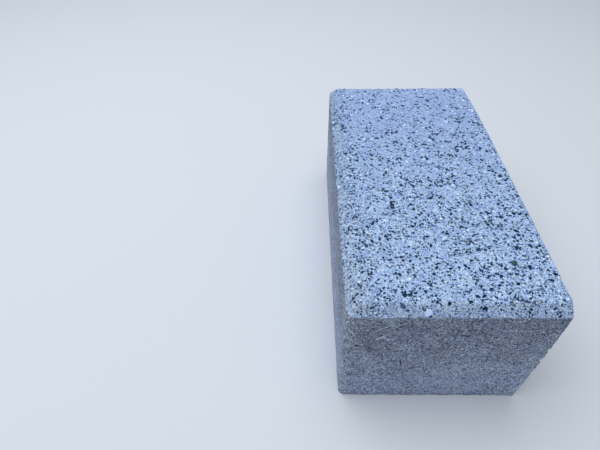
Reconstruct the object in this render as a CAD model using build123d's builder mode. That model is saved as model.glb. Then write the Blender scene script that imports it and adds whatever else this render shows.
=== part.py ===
from build123d import *
from math import asin, degrees
import os

# A concrete paving stone: one pressed block with a chamfered wearing face.
# +X runs across the stone, from its moulded long side to its parted long side.
# +Y runs along its length, and +Z points up to the wearing face.
# The origin is the middle of the bed, the face that the stone lies on.
# All lengths are millimetres.

# Overall size
length = 197.0
width = 97.8
height = 80.0

# Moulded edges: corners are rounded at the mould wall, and less on the wearing face
chamfer_width = 5.0
mould_corner_radius = 4.0
face_corner_radius = 1.5

# Parted long side: it bulges most at the crest and falls back from there
crest_from_front = 135.0
crest_height = 58.0
parted_front_fall = 0.5
parted_back_fall = 2.0
parted_head_fall = 0.3
parted_foot_fall = 2.0

# Concrete pressed with the stone, beyond its parted side, that comes off with its twin
selvage = 12.0

# Places worked out from the sizes above
parted_side = width / 2
front_end = -length / 2
back_end = length / 2
crest_along = front_end + crest_from_front
pressed_width = width + selvage
shoulder = height - chamfer_width


# Half of the parted line, seen from above: an arc that leaves the crest along Y,
# falls back by the given amount at one end of the stone, and runs on past that end
def bulge_arc(crest_across: float, end: float, fall: float) -> CenterArc:
    reach = abs(end - crest_along)
    radius = (reach**2 + fall**2) / (2 * fall)
    sweep = degrees(asin((reach + selvage) / radius))
    turn = 1 if end > crest_along else -1
    return CenterArc((crest_across - radius, crest_along), radius, 0, turn * sweep)


# What comes off the parted side: everything outside a face lofted through three levels
with BuildPart() as offcut:
    for level, level_fall in (
        (0, parted_foot_fall),
        (crest_height, 0),
        (height, parted_head_fall),
    ):
        crest_across = parted_side - level_fall
        outside = parted_side + 2 * selvage
        with BuildSketch(Plane.XY.offset(level)):
            with BuildLine():
                to_front = bulge_arc(crest_across, front_end, parted_front_fall)
                to_back = bulge_arc(crest_across, back_end, parted_back_fall)
                Polyline(
                    to_front @ 1,
                    (outside, (to_front @ 1).Y),
                    (outside, (to_back @ 1).Y),
                    to_back @ 1,
                )
            make_face()
    loft()

# The stone: pressed in its mould, then parted along one side
with BuildPart() as paving_stone:
    # Chamfered head, from the shoulder up to the wearing face
    with BuildSketch(Plane.XY.offset(shoulder)):
        with Locations((selvage / 2, 0)):
            RectangleRounded(pressed_width, length, mould_corner_radius)
    with BuildSketch(Plane.XY.offset(height)):
        with Locations((selvage / 2, 0)):
            RectangleRounded(
                pressed_width - 2 * chamfer_width,
                length - 2 * chamfer_width,
                face_corner_radius,
            )
    loft()

    # Straight walls, from the head's underside down to the bed
    underside = paving_stone.faces().sort_by(Axis.Z)[0]
    extrude(underside, amount=shoulder)

    # Parted long side, which has no chamfer
    add(offcut.part, mode=Mode.SUBTRACT)

paving_stone.part.label = "paving_stone"

os.makedirs("parts", exist_ok=True)
export_step(paving_stone.part, "parts/paving_stone.step")
print("volume", round(paving_stone.part.volume), "mm3")
print("box", paving_stone.part.bounding_box())
print("faces", len(paving_stone.part.faces()))
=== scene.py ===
"""A concrete paving stone with a blasted granite-look face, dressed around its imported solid."""

import logging
import math
from dataclasses import dataclass, field
from enum import Enum

import bpy
import numpy as np
from mathutils import Matrix, Vector
from mathutils.bvhtree import BVHTree


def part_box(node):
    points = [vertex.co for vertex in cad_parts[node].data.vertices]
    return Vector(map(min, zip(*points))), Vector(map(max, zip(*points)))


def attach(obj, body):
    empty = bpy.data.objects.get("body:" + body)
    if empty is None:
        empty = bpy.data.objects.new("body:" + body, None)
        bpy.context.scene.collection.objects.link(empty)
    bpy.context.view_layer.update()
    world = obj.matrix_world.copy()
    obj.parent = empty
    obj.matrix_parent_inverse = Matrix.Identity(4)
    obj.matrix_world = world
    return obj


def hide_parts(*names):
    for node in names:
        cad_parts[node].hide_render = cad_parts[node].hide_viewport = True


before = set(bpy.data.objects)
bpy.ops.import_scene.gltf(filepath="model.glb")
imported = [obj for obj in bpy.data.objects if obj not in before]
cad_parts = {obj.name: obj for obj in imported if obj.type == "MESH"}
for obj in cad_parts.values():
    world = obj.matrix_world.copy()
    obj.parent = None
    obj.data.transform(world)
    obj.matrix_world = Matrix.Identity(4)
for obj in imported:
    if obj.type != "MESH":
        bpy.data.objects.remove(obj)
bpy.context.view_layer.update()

logging.basicConfig(level=logging.INFO, format="%(message)s")
log = logging.getLogger("paving_stone")

MM = 0.001
STONE_NODE = "paving_stone"

Colour = tuple[float, float, float]
Pixel = tuple[float, float]
Socket = bpy.types.NodeSocket
Field = float | Socket

# A noise's colour lies round this, and each finer layer of a noise is this strong beside the last
MIDDLE = (0.5, 0.5, 0.5)
NOISE_ROUGHNESS = 0.6

# The values of a noise that a pattern goes between: a firm one, a soft one, and a drift of grains
FIRM_SPREAD = (0.3, 0.7)
SOFT_SPREAD = (0.25, 0.75)
DRIFT_SPREAD = (0.36, 0.64)


# Node helpers


class NodeSheet:
    """A node tree, with short calls that add nodes to it and join them."""

    def __init__(self, tree: bpy.types.NodeTree) -> None:
        """Starts laying nodes out in a tree.

        Args:
            tree: The shader, group or geometry tree to fill.
        """
        self.tree = tree

    def add(self, kind: str, feeds: dict | None = None, **settings) -> bpy.types.Node:
        """Adds one node.

        Args:
            kind: Blender's type name of the node.
            feeds: Socket names or numbers with a value or with the socket that feeds them.
            **settings: The node's own properties, set before its sockets are fed.

        Returns:
            The new node.
        """
        node = self.tree.nodes.new(kind)
        for name, value in settings.items():
            setattr(node, name, value)
        for name, value in (feeds or {}).items():
            self.feed(node, name, value)
        return node

    def feed(self, node: bpy.types.Node, name: str | int, value: object) -> None:
        """Gives a node's input a value, or joins it to another socket.

        Args:
            node: The node that takes the value.
            name: The input's name or number.
            value: A plain value or an output socket.
        """
        if isinstance(name, int):
            socket = node.inputs[name]
        else:
            socket = next(s for s in node.inputs if s.enabled and s.name == name)
        if isinstance(value, bpy.types.NodeSocket):
            self.tree.links.new(value, socket)
        elif socket.type == "RGBA" and len(value) == 3:
            socket.default_value = (*value, 1.0)
        else:
            socket.default_value = value

    def get(self, kind: str, feeds: dict | None = None, output: str | None = None, **settings) -> Socket:
        """Adds one node and gives one of its outputs.

        Args:
            kind: Blender's type name of the node.
            feeds: Socket names with what feeds them.
            output: The output's name, or None for the first.
            **settings: The node's own properties.

        Returns:
            The output socket.
        """
        node = self.add(kind, feeds, **settings)
        return next(s for s in node.outputs if s.enabled and output in (None, s.name))

    def calc(self, operation: str, first: Field, second: Field = 0.0) -> Socket:
        """Does arithmetic on two numbers.

        Args:
            operation: The Math node's operation.
            first: The first number or socket.
            second: The second number or socket.

        Returns:
            The result's socket.
        """
        return self.add("ShaderNodeMath", {0: first, 1: second}, operation=operation).outputs[0]

    def total(self, *terms: Field) -> Field:
        """Adds several numbers up.

        Args:
            *terms: The numbers or sockets.

        Returns:
            The sum.
        """
        result = terms[0]
        for term in terms[1:]:
            result = self.calc("ADD", result, term)
        return result

    def product(self, *terms: Field) -> Field:
        """Multiplies several numbers.

        Args:
            *terms: The numbers or sockets.

        Returns:
            The product.
        """
        result = terms[0]
        for term in terms[1:]:
            result = self.calc("MULTIPLY", result, term)
        return result

    def rest(self, share: Field) -> Socket:
        """Takes a share away from one."""
        return self.calc("SUBTRACT", 1.0, share)

    def scaled(self, vector: Socket, factor: Field) -> Socket:
        """Multiplies a vector by a number."""
        return self.get("ShaderNodeVectorMath", {"Vector": vector, "Scale": factor}, operation="SCALE")

    def vectors(self, operation: str, first: object, second: object) -> Socket:
        """Does arithmetic on two vectors.

        Args:
            operation: The Vector Math node's operation.
            first: The first vector or socket.
            second: The second vector or socket.

        Returns:
            The resulting vector's socket.
        """
        return self.get("ShaderNodeVectorMath", {0: first, 1: second}, operation=operation)

    def along(self, vector: Socket, way: object) -> Socket:
        """Measures how far a vector goes along a way."""
        return self.get("ShaderNodeVectorMath", {0: vector, 1: way}, "Value", operation="DOT_PRODUCT")

    def stored(self, name: str, kind: str = "FLOAT") -> Socket:
        """Reads a value that is stored on the geometry, by its name and kind."""
        return self.get("GeometryNodeInputNamedAttribute", {"Name": name}, data_type=kind)

    def random(self, low: object, high: object, seed: Field, kind: str = "FLOAT") -> Socket:
        """Draws a random value for each point.

        Args:
            low: The least value.
            high: The greatest value.
            seed: The draw's seed.
            kind: FLOAT or FLOAT_VECTOR.

        Returns:
            The value's socket.
        """
        return self.get("FunctionNodeRandomValue", {"Min": low, "Max": high, "Seed": seed}, data_type=kind)

    def ramp(self, value: Field, start: Field, end: Field, low: Field = 0.0, high: Field = 1.0) -> Socket:
        """Takes a number smoothly from low to high as it goes from start to end.

        Args:
            value: The number to follow.
            start: Where the rise starts.
            end: Where the rise ends.
            low: The result at the start.
            high: The result at the end.

        Returns:
            The result's socket.
        """
        feeds = {"Value": value, "From Min": start, "From Max": end, "To Min": low, "To Max": high}
        return self.get("ShaderNodeMapRange", feeds, interpolation_type="SMOOTHSTEP")

    def noise(self, place: Socket, size: Field, detail: float = 2.0, output: str = "Fac") -> Socket:
        """Adds fractal noise.

        Args:
            place: Where the noise is read, in millimetres.
            size: The size of its largest lumps, in millimetres.
            detail: How many finer layers it has.
            output: Fac for a number, Color for three.

        Returns:
            The noise's socket.
        """
        scale = self.calc("DIVIDE", 1.0, size)
        feeds = {"Vector": place, "Scale": scale, "Detail": detail, "Roughness": NOISE_ROUGHNESS}
        return self.get("ShaderNodeTexNoise", feeds, output)

    def shaken(self, place: Socket, size: Field, reach: Field) -> Socket:
        """Moves a place about by noise, so that what is drawn with it has ragged outlines.

        Args:
            place: The place, in millimetres.
            size: The size of the noise's lumps, in millimetres.
            reach: How far it moves things, in millimetres.

        Returns:
            The moved place's socket.
        """
        centred = self.vectors("SUBTRACT", self.noise(place, size, 1.0, "Color"), MIDDLE)
        return self.vectors("ADD", place, self.scaled(centred, reach))

    def cells(self, place: Socket, size: Field, feature: str = "F1") -> bpy.types.Node:
        """Adds scattered cells.

        Args:
            place: Where the cells are read, in millimetres.
            size: The spacing of the cells, in millimetres.
            feature: F1, or DISTANCE_TO_EDGE.

        Returns:
            The Voronoi node.
        """
        feeds = {"Vector": place, "Scale": self.calc("DIVIDE", 1.0, size)}
        return self.add("ShaderNodeTexVoronoi", feeds, feature=feature)

    def parts(self, vector: Socket) -> tuple[Socket, Socket, Socket]:
        """Splits a colour or vector into its three numbers."""
        node = self.add("ShaderNodeSeparateXYZ", {"Vector": vector})
        return node.outputs[0], node.outputs[1], node.outputs[2]

    def blend(self, share: Field, first: object, second: object) -> Socket:
        """Mixes two colours.

        Args:
            share: How much of the second shows.
            first: The first colour or socket.
            second: The second colour or socket.

        Returns:
            The mixed colour's socket.
        """
        feeds = {"Factor": share, "A": first, "B": second}
        return self.get("ShaderNodeMix", feeds, data_type="RGBA")


class Kind(Enum):
    """Kinds of socket on a group's interface."""

    NUMBER = "NodeSocketFloat"
    WHOLE = "NodeSocketInt"
    VECTOR = "NodeSocketVector"
    GEOMETRY = "NodeSocketGeometry"
    MATERIAL = "NodeSocketMaterial"


def new_group(name: str, tree: str, takes: dict[str, Kind], gives: dict[str, Kind]) -> tuple:
    """Makes an empty node group with named sockets.

    Args:
        name: The group's name.
        tree: ShaderNodeTree or GeometryNodeTree.
        takes: The inputs, by name.
        gives: The outputs, by name.

    Returns:
        The group, its sheet, its inputs' sockets by name, and its output node.
    """
    group = bpy.data.node_groups.new(name, tree)
    for socket, kind in takes.items():
        group.interface.new_socket(name=socket, in_out="INPUT", socket_type=kind.value)
    for socket, kind in gives.items():
        group.interface.new_socket(name=socket, in_out="OUTPUT", socket_type=kind.value)
    sheet = NodeSheet(group)
    inside = sheet.add("NodeGroupInput")
    outside = sheet.add("NodeGroupOutput")
    return group, sheet, {s.name: s for s in inside.outputs if s.name}, outside


def new_geometry_tree(name: str, takes: dict[str, Kind]) -> tuple:
    """Makes an empty geometry tree that gives Geometry.

    Args:
        name: The tree's name.
        takes: Its inputs, by name.

    Returns:
        The tree, its sheet, its inputs' sockets by name, and its output node.
    """
    return new_group(name, "GeometryNodeTree", takes, {"Geometry": Kind.GEOMETRY})


def use_group(sheet: NodeSheet, group: bpy.types.NodeTree, **feeds) -> dict[str, Socket]:
    """Places a node group in another tree and feeds it.

    Args:
        sheet: The sheet it goes on.
        group: The group to place.
        **feeds: The group's inputs by name.

    Returns:
        The group's outputs by name.
    """
    kind = "ShaderNodeGroup" if group.bl_idname == "ShaderNodeTree" else "GeometryNodeGroup"
    node = sheet.add(kind, node_tree=group)
    for name, value in feeds.items():
        sheet.feed(node, name, value)
    return {s.name: s for s in node.outputs}


@dataclass(frozen=True)
class Effects:
    """The surface effects that several finishes share."""

    grains: bpy.types.NodeTree
    packed: bpy.types.NodeTree
    mark: bpy.types.NodeTree
    streaks: bpy.types.NodeTree

    @classmethod
    def build(cls) -> "Effects":
        """Builds every effect once."""
        return cls(grain_group(), packed_group(), mark_group(), streak_group())


def grain_group() -> bpy.types.NodeTree:
    """Builds the effect of scattered ragged grains cut flush with a surface.

    Returns:
        A group that takes Place, Size, Share, Fill and Ragged, and gives Mask and Tone.
    """
    lump_share, smallest_share, soft_edge = 0.55, 0.55, 0.08
    number = Kind.NUMBER
    takes = {"Place": Kind.VECTOR, "Size": number, "Share": number, "Fill": number, "Ragged": number}
    gives = {"Mask": number, "Tone": number}
    group, sheet, inside, outside = new_group("flush_grains", "ShaderNodeTree", takes, gives)
    size = inside["Size"]
    reach = sheet.product(size, inside["Ragged"])
    place = sheet.shaken(inside["Place"], sheet.product(size, lump_share), reach)
    cell = sheet.cells(place, size)
    luck, bulk, tone = sheet.parts(cell.outputs["Color"])
    chosen = sheet.calc("LESS_THAN", luck, inside["Share"])
    radius = sheet.product(inside["Fill"], sheet.ramp(bulk, 0.0, 1.0, smallest_share, 1.0))
    edge = sheet.calc("SUBTRACT", radius, cell.outputs["Distance"])
    sheet.feed(outside, "Mask", sheet.product(chosen, sheet.ramp(edge, -soft_edge, soft_edge)))
    sheet.feed(outside, "Tone", tone)
    return group


def packed_group() -> bpy.types.NodeTree:
    """Builds the effect of closely packed sand grains, each with its own tone.

    Returns:
        A group that takes Place, Size and Ragged, and gives Tone and Body, which is 0 in the gaps.
    """
    lump_share, gap_width = 0.6, 0.10
    number = Kind.NUMBER
    takes = {"Place": Kind.VECTOR, "Size": number, "Ragged": number}
    gives = {"Tone": number, "Body": number}
    group, sheet, inside, outside = new_group("packed_sand", "ShaderNodeTree", takes, gives)
    size = inside["Size"]
    reach = sheet.product(size, inside["Ragged"])
    place = sheet.shaken(inside["Place"], sheet.product(size, lump_share), reach)
    tone = sheet.parts(sheet.cells(place, size).outputs["Color"])[0]
    gap = sheet.cells(place, size, "DISTANCE_TO_EDGE").outputs["Distance"]
    sheet.feed(outside, "Tone", tone)
    sheet.feed(outside, "Body", sheet.ramp(gap, 0.0, gap_width))
    return group


def mark_group() -> bpy.types.NodeTree:
    """Builds the effect of one ragged mark at a chosen place, turned about the stone's lengthwise line.

    Returns:
        A group that takes Place, Centre, Reach, Tilt (in radians) and Ragged, and gives Mask.
    """
    lump_size = 1.4
    faded, solid = 1.2, 0.6
    number, vector = Kind.NUMBER, Kind.VECTOR
    takes = {"Place": vector, "Centre": vector, "Reach": vector, "Tilt": number, "Ragged": number}
    group, sheet, inside, outside = new_group("single_mark", "ShaderNodeTree", takes, {"Mask": number})
    moved = sheet.shaken(inside["Place"], lump_size, inside["Ragged"])
    offset = sheet.vectors("SUBTRACT", moved, inside["Centre"])
    turn = {"Vector": offset, "Center": (0.0, 0.0, 0.0), "Angle": inside["Tilt"]}
    turned = sheet.get("ShaderNodeVectorRotate", turn, "Vector", rotation_type="Y_AXIS")
    spread = sheet.vectors("DIVIDE", turned, inside["Reach"])
    distance = sheet.get("ShaderNodeVectorMath", {0: spread}, "Value", operation="LENGTH")
    sheet.feed(outside, "Mask", sheet.ramp(distance, faded, solid))
    return group


def streak_group() -> bpy.types.NodeTree:
    """Builds the effect of slanting drag marks on an upright wall.

    Returns:
        A group that takes Place, Slope, Length and Width, and gives Mask.
    """
    bend_size, bend_reach = 5.0, 1.2
    patch_size = 24.0
    line_spread, patch_spread = (0.56, 0.70), (0.42, 0.62)
    number = Kind.NUMBER
    takes = {"Place": Kind.VECTOR, "Slope": number, "Length": number, "Width": number}
    group, sheet, inside, outside = new_group("drag_streaks", "ShaderNodeTree", takes, {"Mask": number})
    x, y, z = sheet.parts(sheet.shaken(inside["Place"], bend_size, bend_reach))
    run = sheet.total(x, y)
    rise = sheet.calc("SUBTRACT", z, sheet.product(run, inside["Slope"]))
    lengths = sheet.calc("DIVIDE", run, inside["Length"])
    widths = sheet.calc("DIVIDE", rise, inside["Width"])
    lines = sheet.noise(sheet.get("ShaderNodeCombineXYZ", {"X": lengths, "Y": widths}), 1.0, 1.0)
    patches = sheet.noise(inside["Place"], patch_size, 1.0)
    mask = sheet.product(sheet.ramp(lines, *line_spread), sheet.ramp(patches, *patch_spread))
    sheet.feed(outside, "Mask", mask)
    return group


# The photograph's frame and camera


@dataclass(frozen=True)
class Photograph:
    """The photograph's frame, and the camera that saw the stone's edges where they are in it.

    The angles are in degrees, the focal length in pixels, the eye's place and the sensor in millimetres,
    and the limits of sight in metres.
    """

    columns: int = 600
    rows: int = 450
    focal: float = 448.0
    pitch: float = 44.864
    yaw: float = 1.153
    roll: float = 0.850
    eye: tuple[float, float, float] = (-65.93, -206.99, 239.31)
    sensor: float = 36.0
    nearest: float = 0.01
    furthest: float = 100.0

    def axes(self) -> tuple[Vector, Vector, Vector]:
        """Gives the picture's directions in the scene.

        Returns:
            The ways of the picture's right, the picture's down and the line of sight.
        """
        pitch, yaw, roll = (math.radians(a) for a in (self.pitch, self.yaw, self.roll))
        turn = Matrix.Rotation(yaw, 3, "Z")
        ahead = turn @ Vector((0, math.cos(pitch), -math.sin(pitch)))
        right = turn @ Vector((1, 0, 0))
        down = ahead.cross(right)
        tilted_right = right * math.cos(roll) + down * math.sin(roll)
        tilted_down = down * math.cos(roll) - right * math.sin(roll)
        return tilted_right, tilted_down, ahead

    def ray(self, pixel: Pixel) -> Vector:
        """Gives the direction in which a pixel of the photograph is seen.

        Args:
            pixel: The pixel's distances from the left side and from the top.

        Returns:
            A unit vector.
        """
        right, down, ahead = self.axes()
        across = (pixel[0] - self.columns / 2) / self.focal
        below = (pixel[1] - self.rows / 2) / self.focal
        return (ahead + right * across + down * below).normalized()

    def at_station(self, pixel: Pixel, station: float) -> Vector:
        """Finds where the line of sight through a pixel crosses one station along the stone.

        Args:
            pixel: The pixel's column and row.
            station: The place along the stone, such as the front wall's, in millimetres.

        Returns:
            The place in millimetres.
        """
        ray = self.ray(pixel)
        eye = Vector(self.eye)
        return eye + ray * ((station - eye.y) / ray.y)

    def make_camera(self) -> None:
        """Builds the camera and makes it the scene's own."""
        data = bpy.data.cameras.new("camera")
        data.sensor_width = self.sensor
        data.lens = self.focal / self.columns * self.sensor
        data.clip_start = self.nearest
        data.clip_end = self.furthest
        camera = bpy.data.objects.new("camera", data)
        right, down, ahead = self.axes()
        turn = Matrix((right, -down, -ahead)).transposed()
        camera.matrix_world = Matrix.Translation(Vector(self.eye) * MM) @ turn.to_4x4()
        bpy.context.scene.collection.objects.link(camera)
        bpy.context.scene.camera = camera


PHOTOGRAPH = Photograph()


# Finishes


@dataclass(frozen=True)
class Grading:
    """Flush grains of one size, in millimetres.

    The fill is how much of its place the largest grain takes up, and the share how many places hold one.
    """

    size: float
    fill: float
    ragged: float
    share: float = 1.0


class FinishSheet(NodeSheet):
    """The nodes of one finish: a material with one plain shader.

    Its place is the place on the surface, in millimetres, and x, y and z are that place's parts.
    """

    def __init__(self, name: str, effects: Effects | None = None) -> None:
        """Makes the material.

        Args:
            name: The material's name.
            effects: The shared surface effects, where the finish uses any.
        """
        self.material = bpy.data.materials.new(name)
        self.material.use_nodes = True
        self.material.node_tree.nodes.clear()
        super().__init__(self.material.node_tree)
        self.effects = effects
        self.shader = self.add("ShaderNodeBsdfPrincipled")
        self.add("ShaderNodeOutputMaterial", {"Surface": self.shader.outputs["BSDF"]})
        self.place = self.scaled(self.get("ShaderNodeTexCoord", output="Object"), 1 / MM)
        self.x, self.y, self.z = self.parts(self.place)

    def packed(self, size: float, ragged: float, place: Socket | None = None) -> dict[str, Socket]:
        """Draws packed sand.

        Args:
            size: The sand's size, in millimetres.
            ragged: How ragged its grains are.
            place: Where the pattern is read, or None for the place on the surface.

        Returns:
            The sand's Tone and Body, by name.
        """
        read_at = self.place if place is None else place
        return use_group(self, self.effects.packed, Place=read_at, Size=size, Ragged=ragged)

    def grains(self, grading: Grading, share: Field | None = None) -> dict[str, Socket]:
        """Draws flush grains.

        Args:
            grading: The grains' size and shape.
            share: A share that changes over the surface, or None for the grading's own.

        Returns:
            The grains' Mask and Tone, by name.
        """
        held = grading.share if share is None else share
        feeds = {"Size": grading.size, "Share": held, "Fill": grading.fill, "Ragged": grading.ragged}
        return use_group(self, self.effects.grains, Place=self.place, **feeds)

    def mark(self, centre: Vector, reach: tuple[float, ...], ragged: float, tilt: float = 0.0) -> Socket:
        """Draws one ragged mark.

        Args:
            centre: The mark's middle, in millimetres.
            reach: Half its size each way, in millimetres.
            ragged: How far its outline wanders, in millimetres.
            tilt: Its turn about the stone's lengthwise line, in degrees.

        Returns:
            The mark's mask.
        """
        feeds = {"Centre": centre, "Reach": reach, "Tilt": math.radians(tilt), "Ragged": ragged}
        return use_group(self, self.effects.mark, Place=self.place, **feeds)["Mask"]

    def wander(self, size: float, low: float, high: float, detail: float = 2.0) -> Socket:
        """Makes a length that wanders over the surface.

        Args:
            size: The size of its lumps, in millimetres.
            low: The least length, in millimetres.
            high: The greatest length, in millimetres.
            detail: How many finer layers its noise has.

        Returns:
            The length's socket.
        """
        return self.ramp(self.noise(self.place, size, detail), *FIRM_SPREAD, low, high)

    def set_matte(self, roughness: float, gloss: float = 0.22) -> None:
        """Sets how dull the shader is, by its roughness and its specular level."""
        self.shader.inputs["Roughness"].default_value = roughness
        self.shader.inputs["Specular IOR Level"].default_value = gloss

    def finished(self, colour: Socket, height: Socket, relief: float) -> bpy.types.Material:
        """Feeds the shader its colour and its bump.

        Args:
            colour: The surface's colour.
            height: The surface's height, from 0 to about 1.
            relief: What a height of 1 stands for, in millimetres.

        Returns:
            The material.
        """
        self.feed(self.shader, "Base Color", colour)
        bump = self.get("ShaderNodeBump", {"Strength": 1.0, "Distance": relief * MM, "Height": height})
        self.feed(self.shader, "Normal", bump)
        return self.material


@dataclass(frozen=True)
class BlastedFace:
    """The wearing face: pale quartz sand and dark chips with the cement skin blasted off them.

    Sizes and places are in millimetres. The face is busier with chips towards its left arris and calmer
    towards its back end. A depth is measured down from its top.
    """

    # The matrix between sand grains, darkened as painted shade in the gaps
    hollow: Colour = (0.120, 0.226, 0.530)
    dull: Colour = (0.276, 0.424, 0.845)
    crystal: Colour = (0.596, 0.788, 0.998)
    # Pale crystals brightened as painted glints, for the chamfers' pale crumbs
    crystal_and_glint: Colour = (0.625, 0.815, 0.998)
    speck: Colour = (0.006, 0.028, 0.096)
    # Fine dark grains, and the painted shade of small pits between sand grains
    fine_dark_and_pit_shade: Colour = (0.029, 0.074, 0.205)
    haze: Colour = (0.420, 0.480, 0.540)
    # A painted reflection of the sky, laid over the face more strongly towards the back
    sky_reflection: Colour = (0.060, 0.100, 0.450)
    # A faint mauve tint for the chamfers
    tint_and_highlight: Colour = (0.620, 0.500, 0.800)
    top: float = 80.0
    slope_depths: tuple[float, float] = (0.4, 1.2)
    thinned_depths: tuple[float, float] = (2.5, 0.8)
    left_slope: tuple[float, float] = (-43.0, -44.5)
    busy: tuple[float, float] = (-32.0, -44.0)
    calm: tuple[float, float] = (-80.0, 80.0)
    fine_sand: float = 0.64
    coarse_sand: float = 1.6
    coarse_sand_share: float = 0.25
    coarse_gap: float = 0.55
    sand_ragged: float = 0.6
    sand_tones: tuple[float, float] = (0.05, 0.62)
    patch: float = 8.0
    drift_shares: tuple[float, float] = (0.34, 0.82)
    thinned_share: float = 0.70
    calm_share: float = 0.06
    busy_share: float = 0.62
    # Fine dark specks: partly grains, partly painted shade in small pits
    specks_and_pit_shade: Grading = Grading(0.90, fill=0.44, ragged=0.8)
    speck_and_shade_strength: tuple[float, float] = (0.50, 0.95)
    chips: Grading = Grading(1.7, fill=0.36, ragged=0.9)
    chip_strength: tuple[float, float] = (0.65, 1.0)
    fine_crumbs: Grading = Grading(0.85, fill=0.44, ragged=0.7, share=0.85)
    fine_crumbs_dark: float = 0.44
    coarse_crumbs: Grading = Grading(1.7, fill=0.44, ragged=0.7, share=0.85)
    coarse_crumbs_dark: float = 0.52
    tint_and_highlight_share: float = 0.06
    scoured_share: tuple[float, float] = (0.08, 0.28)
    haze_seen_at: Pixel = (353.0, 288.0)
    haze_station: float = -87.0
    haze_reach: tuple[float, float, float] = (7.0, 16.0, 9.0)
    haze_ragged: float = 5.0
    haze_share: float = 0.14
    left_haze_share: float = 0.06
    sky_reflection_share: float = 0.20
    roughness: float = 0.85
    gloss: float = 0.10
    relief: float = 0.15
    slope_relief: float = 1.6
    tone_lift: float = 0.6
    chip_dip: float = 0.4

    def sand(self, sheet: FinishSheet) -> tuple[Socket, Socket, Socket]:
        """Makes the sand, packed at two sizes.

        Args:
            sheet: The finish's nodes.

        Returns:
            The sand's colour, its tone, and its body, which is 0 in the gaps.
        """
        fine = sheet.packed(self.fine_sand, self.sand_ragged)
        coarse = sheet.packed(self.coarse_sand, self.sand_ragged)
        fine_tone = sheet.product(fine["Tone"], 1 - self.coarse_sand_share)
        tone = sheet.total(fine_tone, sheet.product(coarse["Tone"], self.coarse_sand_share))
        body = sheet.product(fine["Body"], sheet.ramp(coarse["Body"], 0.0, 1.0, self.coarse_gap, 1.0))
        colour = sheet.blend(sheet.ramp(tone, *self.sand_tones), self.dull, self.crystal)
        # The gaps between the sand grains take the matrix's colour, darkened as painted shade
        return sheet.blend(body, self.hollow, colour), tone, body

    def chip_share(self, sheet: FinishSheet) -> Socket:
        """Makes the share of places that hold a dark chip, in drifts, with fewer down the chamfers.

        Args:
            sheet: The finish's nodes.

        Returns:
            The share's socket.
        """
        drift = sheet.ramp(sheet.noise(sheet.place, self.patch), *DRIFT_SPREAD)
        strewn = sheet.ramp(drift, 0.0, 1.0, *self.drift_shares)
        heights = (self.top - depth for depth in self.thinned_depths)
        on_top = sheet.ramp(sheet.z, *heights, self.thinned_share, 1.0)
        calm = sheet.ramp(sheet.y, *self.calm, 1.0, self.calm_share)
        busy = sheet.ramp(sheet.x, *self.busy, 0.0, self.busy_share)
        return sheet.total(sheet.product(strewn, on_top, calm), busy)

    def chipped(self, sheet: FinishSheet, colour: Socket) -> tuple[Socket, Socket]:
        """Lays dark specks, partly painted shade in small pits, and chips over the sand.

        Args:
            sheet: The finish's nodes.
            colour: The sand's colour.

        Returns:
            The colour with them, and the chips' mask.
        """
        share = self.chip_share(sheet)
        specks_and_pit_shade = sheet.grains(self.specks_and_pit_shade, share)
        chips = sheet.grains(self.chips, share)
        # The specks are partly fine dark grains and partly painted shade in small pits
        speck_and_shade_strength = sheet.ramp(specks_and_pit_shade["Tone"], 0.0, 1.0, *self.speck_and_shade_strength)
        colour = sheet.blend(sheet.product(specks_and_pit_shade["Mask"], speck_and_shade_strength), colour, self.fine_dark_and_pit_shade)
        chip_strength = sheet.ramp(chips["Tone"], 0.0, 1.0, *self.chip_strength)
        return sheet.blend(sheet.product(chips["Mask"], chip_strength), colour, self.speck), chips["Mask"]

    def material(self, effects: Effects) -> bpy.types.Material:
        """Builds the finish.

        Args:
            effects: The shared surface effects.

        Returns:
            The material.
        """
        sheet = FinishSheet("blasted_face", effects)
        colour, tone, body = self.sand(sheet)

        # The chamfers other than the left one get a faint mauve tint, and the left one is scoured paler
        # towards the back
        sloping = sheet.ramp(sheet.z, *(self.top - depth for depth in self.slope_depths))
        beside = sheet.ramp(sheet.x, *self.left_slope)
        elsewhere = sheet.rest(beside)
        colour = sheet.blend(sheet.product(sloping, elsewhere, self.tint_and_highlight_share), colour, self.tint_and_highlight)
        scoured = sheet.ramp(sheet.y, *self.calm, *self.scoured_share)
        colour = sheet.blend(sheet.product(sloping, beside, scoured), colour, self.crystal)

        # Dark chips all over, and crumbs down the chamfers, coarser on the left one; the pale crumbs are pale
        # crystals brightened as painted glints
        colour, chips = self.chipped(sheet, colour)
        fine = (self.fine_crumbs, self.fine_crumbs_dark, elsewhere)
        coarse = (self.coarse_crumbs, self.coarse_crumbs_dark, beside)
        for grading, dark_share, side in (fine, coarse):
            crumbs = sheet.grains(grading)
            dark = sheet.calc("LESS_THAN", crumbs["Tone"], dark_share)
            tint = sheet.blend(dark, self.crystal_and_glint, self.fine_dark_and_pit_shade)
            colour = sheet.blend(sheet.product(crumbs["Mask"], sloping, side), colour, tint)

        # A worn haze lies near the front left corner, and the face is painted bluer towards the back, as a
        # painted reflection of the sky
        centre = PHOTOGRAPH.at_station(self.haze_seen_at, self.haze_station)
        worn = sheet.mark(centre, self.haze_reach, self.haze_ragged)
        left_haze = sheet.ramp(sheet.x, *self.busy, 0.0, self.left_haze_share)
        colour = sheet.blend(sheet.total(sheet.product(worn, self.haze_share), left_haze), colour, self.haze)
        colour = sheet.blend(sheet.ramp(sheet.y, *self.calm, 0.0, self.sky_reflection_share), colour, self.sky_reflection)
        sheet.set_matte(self.roughness, self.gloss)
        height = sheet.total(body, sheet.product(tone, self.tone_lift), sheet.product(chips, -self.chip_dip))
        lift = sheet.ramp(sloping, 0.0, 1.0, 1.0, self.slope_relief)
        return sheet.finished(colour, sheet.product(height, lift), self.relief)


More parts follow.
